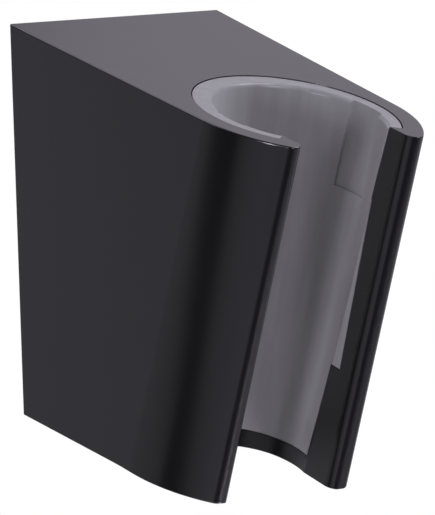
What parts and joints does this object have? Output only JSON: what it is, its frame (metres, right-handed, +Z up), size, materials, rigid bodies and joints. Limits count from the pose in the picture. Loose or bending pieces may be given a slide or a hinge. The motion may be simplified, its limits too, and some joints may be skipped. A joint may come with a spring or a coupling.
{
  "type": "hand shower holder",
  "caption": "Wall-mounted holder for a hand shower: tapered black moulding with a round nose, a conical socket with a grey liner and a slot for the hose.",
  "frame": {"origin": "middle of the flat back face that lies on the wall", "axes": "+Z up, +Y into the wall so the slot faces -Y, +X to the right of someone facing the wall"},
  "size_m": [0.037, 0.0499, 0.0638],
  "materials": {
    "body_black": "fine matt black",
    "liner_grey": "smooth mid grey"
  },
  "bodies": {
    "root": {"holder_body": "body_black", "socket_liner": "liner_grey"}
  },
  "joints": []
}
